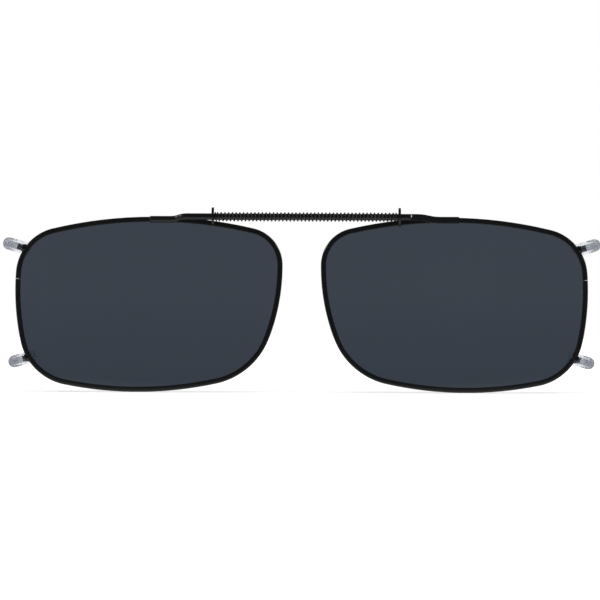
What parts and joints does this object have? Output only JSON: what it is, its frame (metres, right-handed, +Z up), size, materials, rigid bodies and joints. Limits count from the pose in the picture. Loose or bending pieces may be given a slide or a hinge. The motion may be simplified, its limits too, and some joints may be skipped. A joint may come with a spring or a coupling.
{
  "type": "clip-on sunglass lenses",
  "caption": "Clip-on sunglass lenses: dark curved lenses in thin black rims, joined by a sprung sliding bridge, with soft-tipped wire prongs that hook over spectacles.",
  "frame": {"origin": "Midway between the two eyes, at half their height, on the plane of the rims' rear edges that the spectacles rest against", "axes": "+X to the right as seen from the front, +Y towards the wearer, +Z up as worn"},
  "size_m": [0.1256, 0.0142, 0.0386],
  "materials": {
    "black_enamel": "gloss black enamel on wire",
    "smoke_lens": "polished smoke-grey tinted sheet",
    "spring_steel": "blackened spring wire",
    "clear_sleeve": "clear soft vinyl, slightly hazy"
  },
  "bodies": {
    "left_half": {"left_rim": "black_enamel", "left_lens": "smoke_lens", "left_bridge_wire": "black_enamel", "left_wire_stop": "black_enamel", "left_upper_prong": "black_enamel", "left_lower_prong": "black_enamel", "left_upper_sleeve": "clear_sleeve", "left_lower_sleeve": "clear_sleeve", "bridge_spring": "spring_steel"},
    "right_half": {"right_rim": "black_enamel", "right_lens": "smoke_lens", "right_bridge_wire": "black_enamel", "right_wire_stop": "black_enamel", "right_upper_prong": "black_enamel", "right_lower_prong": "black_enamel", "right_upper_sleeve": "clear_sleeve", "right_lower_sleeve": "clear_sleeve"}
  },
  "joints": [
    {"name": "bridge_slide", "type": "slide", "parent": "left_half", "child": "right_half", "axis": [1, 0, 0], "range_m": [0, 0.015], "stiffness_N_per_m": 60, "springref_m": -0.008, "deforming": ["bridge_spring"]}
  ]
}
